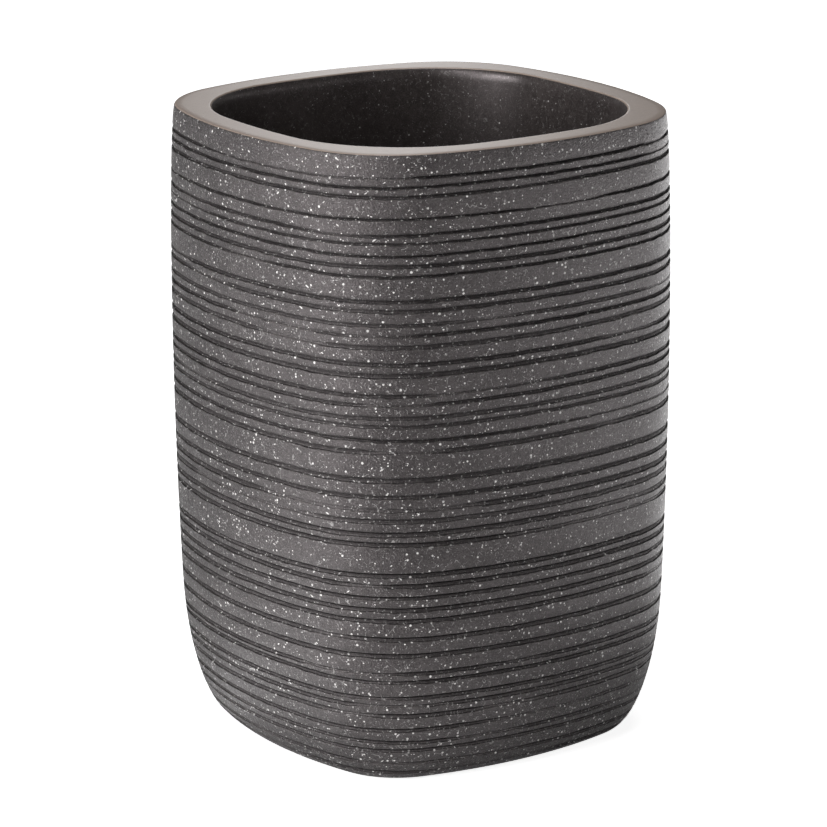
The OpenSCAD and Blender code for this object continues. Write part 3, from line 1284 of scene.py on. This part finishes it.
@dataclass
class FootPads:
    """The four round pads under the base, each a disc with a soft edge and a slight crown."""

    edge_radius: float = 0.35 * MM
    crown: float = 0.06 * MM
    face_rows: int = 10
    edge_rows: int = 6
    side_rows: int = 3
    hub_share: float = 0.08
    roof_shares: tuple[float, ...] = (0.7, 0.4, 0.1)
    columns: int = 96
    nodes: tuple[str, ...] = ("pad_front_left", "pad_front_right", "pad_back_left",
                              "pad_back_right")

    def pad_mesh(self, node: str) -> bpy.types.Mesh:
        """Turns the pad's section about its own upright axis.

        The section runs from the middle of the lower face, which rises towards its edge by the
        crown times the square of the radius's share, round the edge's quarter circle and up the
        side to the upper face.

        Args:
            node: The pad's CAD node, whose box gives its place and size.

        Returns:
            The mesh.
        """
        low, high = (np.array(corner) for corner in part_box(node))
        centre, radius = (low + high)[:2] / 2, (high - low)[0] / 2
        flat, face_high, roof = radius - self.edge_radius, low[2] + self.crown, high[2]
        face = np.linspace(self.hub_share, 1, self.face_rows)
        sine_left, cosine_left = (part[1:] for part in quarter_round(self.edge_rows + 1))
        side = np.linspace(face_high + self.edge_radius, roof, self.side_rows + 1)[1:]
        top = np.array(self.roof_shares)
        reach = np.concatenate([face * flat, radius - self.edge_radius * sine_left,
                                np.full(side.shape, radius), radius * top])
        rise = np.concatenate([low[2] + self.crown * face**2,
                               face_high + self.edge_radius * cosine_left, side,
                               np.full(top.shape, roof)])
        angle = np.linspace(0, 2 * math.pi, self.columns, endpoint=False)
        grid = np.stack([centre[0] + reach[:, None] * np.cos(angle),
                         centre[1] + reach[:, None] * np.sin(angle),
                         np.broadcast_to(rise[:, None], (len(rise), self.columns))], axis=2)
        return surface_mesh(node, grid, ([*centre, low[2]], [*centre, roof]))

    def build(self) -> list[bpy.types.Object]:
        """Makes and dresses the four pads.

        Returns:
            The pads, each in place of its CAD node.
        """
        rubber = RubberFinish().material()
        made = []
        for node in self.nodes:
            mesh = self.pad_mesh(node)
            mesh.materials.append(rubber)
            pad = placed(node.replace("pad", "rubber_pad"), mesh)
            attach(pad, ROOT)
            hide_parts(node)
            LOG.info("%s: %d faces", pad.name, len(mesh.polygons))
            made.append(pad)
        return made


OUTSIDE_FLECKS = (
    FleckLayer(cell=0.80, radius=0.23, share=0.46, strength=1.0),
    FleckLayer(cell=0.55, radius=0.13, share=0.16, strength=0.6),
    FleckLayer(cell=0.80, radius=0.15, share=0.30, strength=1.0, stretch=(1.0, 1.0, 2.8),
               turn=(0.9, 0.3, 0.4)),
    FleckLayer(cell=0.85, radius=0.15, share=0.30, strength=1.0, stretch=(1.0, 1.0, 2.8),
               turn=(-0.8, 0.9, 1.0)),
)
WARM_SHEEN = (1.0, 0.90, 0.915)
STONE_FINISHES = {
    Zone.UNDERSIDE: StoneFinish("cast_underside", dark=(0.036, 0.033, 0.033),
                                light=(0.056, 0.052, 0.051), layers=OUTSIDE_FLECKS[:2],
                                rough_low=0.6, rough_high=0.75, grain=0.04 * MM,
                                pin_holes=0.8, specular=0.35),
    # The carved finish paints shade into grooves and slots, and a highlight along their lower lips
    Zone.CARVED: StoneFinish("carved_stone_resin", dark=(0.014, 0.0125, 0.0125),
                             light=(0.056, 0.051, 0.051), layers=OUTSIDE_FLECKS,
                             hair_strength=0.34, rough_low=0.28, rough_high=0.46,
                             grain=0.20 * MM, grit=0.32, tint=WARM_SHEEN,
                             streaks=0.02 * MM, groove_painted_shade=0.95, groove_rough=0.06,
                             slot_painted_shade=0.20, crevice_rough=0.25, lip_highlight_reach=0.10, lip_round=0.12),
    Zone.RIM: StoneFinish("ground_rim", dark=(0.315, 0.250, 0.208), light=(0.345, 0.276, 0.232),
                          layers=(FleckLayer(cell=1.6, radius=0.18, share=0.25, strength=0.35),),
                          rough_low=0.23, rough_high=0.26, grain=0.001 * MM, grit=0.3,
                          tint=WARM_SHEEN, pin_holes=0.0, streaks=0.008 * MM,
                          streak_turn=(math.pi / 2, 0.0, 0.6)),
    Zone.CAVITY: StoneFinish("smooth_cavity", dark=(0.030, 0.025, 0.024),
                             light=(0.062, 0.053, 0.051), hair_strength=0.12,
                             layers=(FleckLayer(cell=1.0, radius=0.17, share=0.35,
                                                strength=0.60),
                                     FleckLayer(cell=0.6, radius=0.11, share=0.40,
                                                strength=0.35)),
                             rough_low=0.28, rough_high=0.40, grain=0.012 * MM, grit=0.26,
                             tint=WARM_SHEEN, specular=0.7),
}


@dataclass(frozen=True)
class Lamp:
    """A square soft light, aimed at the middle of the tumbler.

    Attributes:
        name: Name of the lamp.
        azimuth: Where it stands round the tumbler, in degrees, as the camera's is given.
        elevation: Its height above the level, in degrees.
        distance: From the tumbler's middle, in metres.
        size: Width and height, in metres.
        power: Power, in watts.
        mirrored: Whether gloss shows it.
    """

    name: str
    azimuth: float
    elevation: float
    distance: float
    size: tuple[float, float]
    power: float
    mirrored: bool = True


@dataclass(frozen=True)
class TableCard:
    """A bright card round the tumbler, on the table or beyond it, which only gloss mirrors.

    Attributes:
        azimuth: Where it lies round the tumbler, in degrees.
        reach: Half its sweep, in degrees: where it fades out, and where it is full.
        level: How bright it looks.
        start: Distances from the axis where it starts and where it is full, in metres.
        end: Distances where it ends and where it is still full, or none.
    """

    azimuth: float
    reach: tuple[float, float]
    level: float
    start: tuple[float, float] = (0.028, 0.048)
    end: tuple[float, ...] = ()

    def share(self, sheet: NodeSheet, way: Socket) -> Socket:
        """Returns how much of the card shows along a unit vector out from the axis."""
        fade, full = (math.cos(math.radians(angle)) for angle in self.reach)
        return sheet.smooth(sheet.toward(way, self.azimuth), fade, full)


@dataclass
class Studio:
    """Pale floor, white surroundings, soft lamps and the camera at the photograph's angle."""

    camera_azimuth: float = -34.3
    camera_elevation: float = 14.98
    camera_distance: float = 0.7276
    camera_roll: float = -0.27
    aim_height: float = 0.0525
    aim_aside: float = -1.10 * MM
    aim_up: float = 0.23 * MM
    sensor: float = 36.0
    lens: float = 191.5
    floor_size: float = 6.0
    floor_tone: Colour = (0.85, 0.85, 0.85)
    floor_roughness: float = 0.9
    shadow_reach: tuple[float, float] = (0.03, 0.20)
    shadow_fill: float = 0.88
    world_level: float = 0.02
    backdrop_levels: tuple[float, float] = (0.15, 1.55)
    backdrop_ahead: tuple[float, float] = (0.1, 0.7)
    backdrop_reach: float = 0.070
    backdrop_aside: float = 0.008
    table_glow: float = 0.12
    glow_rise: tuple[float, float] = (0.20, 0.62)
    glow_far: float = 2.2
    horizons: tuple[TableCard, ...] = (
        TableCard(-78.0, (48.0, 18.0), 1.8),
        TableCard(40.0, (65.0, 30.0), 1.4),
    )
    horizon_height: tuple[float, float] = (0.20, 0.0)
    cards: tuple[TableCard, ...] = (
        TableCard(-93.0, (44.0, 18.0), 2.05),
        TableCard(65.0, (80.0, 35.0), 1.52, start=(0.045, 0.10)),
        TableCard(-45.0, (60.0, 30.0), 1.2, end=(0.10, 0.06)),
    )
    lamps: tuple[Lamp, ...] = (
        Lamp("key", -98.0, 6.0, 0.9, (0.45, 0.45), 6.2),
        Lamp("key_side", -80.0, 6.0, 0.9, (0.45, 0.45), 2.2),
        Lamp("fill", 45.0, 6.0, 0.9, (0.45, 0.45), 1.1, mirrored=False),
        Lamp("high", -62.0, 30.0, 0.9, (0.30, 0.30), 1.7),
        Lamp("top", -34.0, 88.0, 0.9, (0.60, 0.60), 3.5),
    )

    @property
    def middle(self) -> Vector:
        """The tumbler's middle, where the lamps point."""
        return Vector((0.0, 0.0, self.aim_height))

    def camera(self) -> None:
        """Stands the camera as solved from the photograph, with its slight roll."""
        back = around(self.camera_azimuth, self.camera_elevation)
        right = around(self.camera_azimuth + QUARTER_TURN)
        data = bpy.data.cameras.new("camera")
        data.sensor_width = self.sensor
        data.lens = self.lens
        camera = placed("camera", data)
        target = self.middle + right * self.aim_aside + back.cross(right) * self.aim_up
        roll = Matrix.Rotation(math.radians(self.camera_roll), 4, "Z")
        camera.matrix_world = aimed(self.middle + back * self.camera_distance, target) @ roll
        bpy.context.scene.camera = camera

    def light(self) -> None:
        """Hangs the lamps."""
        for lamp in self.lamps:
            data = bpy.data.lights.new(lamp.name, "AREA")
            data.shape = "RECTANGLE"
            data.size, data.size_y = lamp.size
            data.energy = lamp.power
            hung = placed(lamp.name, data)
            hung.visible_glossy = lamp.mirrored
            out = around(lamp.azimuth, lamp.elevation)
            hung.matrix_world = aimed(self.middle + out * lamp.distance, self.middle)

    def surroundings(self) -> None:
        """Makes the world white to the camera, a lit backdrop to gloss, and a dim light.

        The backdrop is a soft step of the ray's part along the way the camera looks. Its middle
        is lit brighter, by a soft step of the ray's part to the side. Paler bands lie low over
        the horizon before the tumbler.
        """
        world = bpy.data.worlds.new("studio")
        world.use_nodes = True
        bpy.context.scene.world = world
        sheet = NodeSheet(world.node_tree)
        rays = sheet.node("ShaderNodeLightPath").outputs
        way = sheet.node("ShaderNodeTexCoord").outputs["Generated"]
        ahead = sheet.toward(way, self.camera_azimuth + 2 * QUARTER_TURN)
        aside = sheet.toward(way, self.camera_azimuth + QUARTER_TURN)
        off = sheet.math("ABSOLUTE", sheet.total(aside, self.backdrop_aside))
        middle = sheet.smooth(off, self.backdrop_reach, 0.0)
        glow = sheet.product(sheet.smooth(ahead, *self.backdrop_ahead),
                             sheet.span(middle, *self.backdrop_levels))
        height = sheet.node("ShaderNodeSeparateXYZ", {"Vector": way}).outputs[2]
        low = sheet.smooth(height, *self.horizon_height)
        for card in self.horizons:
            lit = sheet.product(card.share(sheet, way), low, card.level)
            glow = sheet.math("MAXIMUM", glow, lit)
        shown = sheet.math("MAXIMUM", sheet.product(glow, rays["Is Glossy Ray"]),
                           rays["Is Camera Ray"])
        background = world.node_tree.nodes["Background"].inputs
        sheet.feed(background["Strength"], sheet.math("MAXIMUM", shown, self.world_level))
        sheet.feed(background["Color"], WHITE)

    def floor(self) -> None:
        """Lays a pale floor that keeps the tumbler's shadow and else shows as white."""
        half = self.floor_size / 2
        mesh = bpy.data.meshes.new("floor")
        mesh.from_pydata([(-half, -half, 0), (half, -half, 0), (half, half, 0),
                          (-half, half, 0)], [], [(0, 1, 2, 3)])
        paint, sheet, inputs = blank_material("pale_floor")
        sheet.feed(inputs["Base Color"], colour(self.floor_tone))
        sheet.feed(inputs["Roughness"], self.floor_roughness)
        sheet.feed(inputs["Specular IOR Level"], 0.0)
        sheet.feed(inputs["Emission Color"], WHITE)
        rays = sheet.node("ShaderNodeLightPath").outputs
        place = sheet.node("ShaderNodeTexCoord").outputs["Object"]
        away = sheet.node("ShaderNodeVectorMath", {0: place}, operation="LENGTH").outputs["Value"]
        way = sheet.node("ShaderNodeVectorMath", {0: place}, operation="NORMALIZE").outputs[0]
        white = sheet.span(sheet.smooth(away, *self.shadow_reach), self.shadow_fill, 1.0)
        glow: Feed = self.table_glow
        for card in self.cards:
            lit = sheet.product(card.share(sheet, way), sheet.smooth(away, *card.start))
            if card.end:
                lit = sheet.product(lit, sheet.smooth(away, *card.end))
            glow = sheet.math("MAXIMUM", glow, sheet.product(lit, card.level))
        rise = sheet.smooth(away, *self.glow_rise)
        glow = sheet.product(glow, sheet.span(rise, 1.0, self.glow_far))
        sheet.feed(inputs["Emission Strength"],
                   sheet.total(sheet.product(white, rays["Is Camera Ray"]),
                               sheet.product(glow, rays["Is Glossy Ray"])))
        mesh.materials.append(paint)
        floor = placed("floor", mesh)

    def build(self) -> None:
        """Sets the whole studio up."""
        self.camera()
        self.light()
        self.surroundings()
        self.floor()
        LOG.info("studio: %d lamps", len(self.lamps))


def main() -> None:
    """Builds the studio, the casting and the pads, in that order."""
    logging.basicConfig(level=logging.INFO, format="%(name)s: %(message)s")
    bpy.context.scene.view_settings.view_transform = "Standard"
    Studio().build()
    TumblerBody().build()
    FootPads().build()


if __name__ == "__main__":
    main()
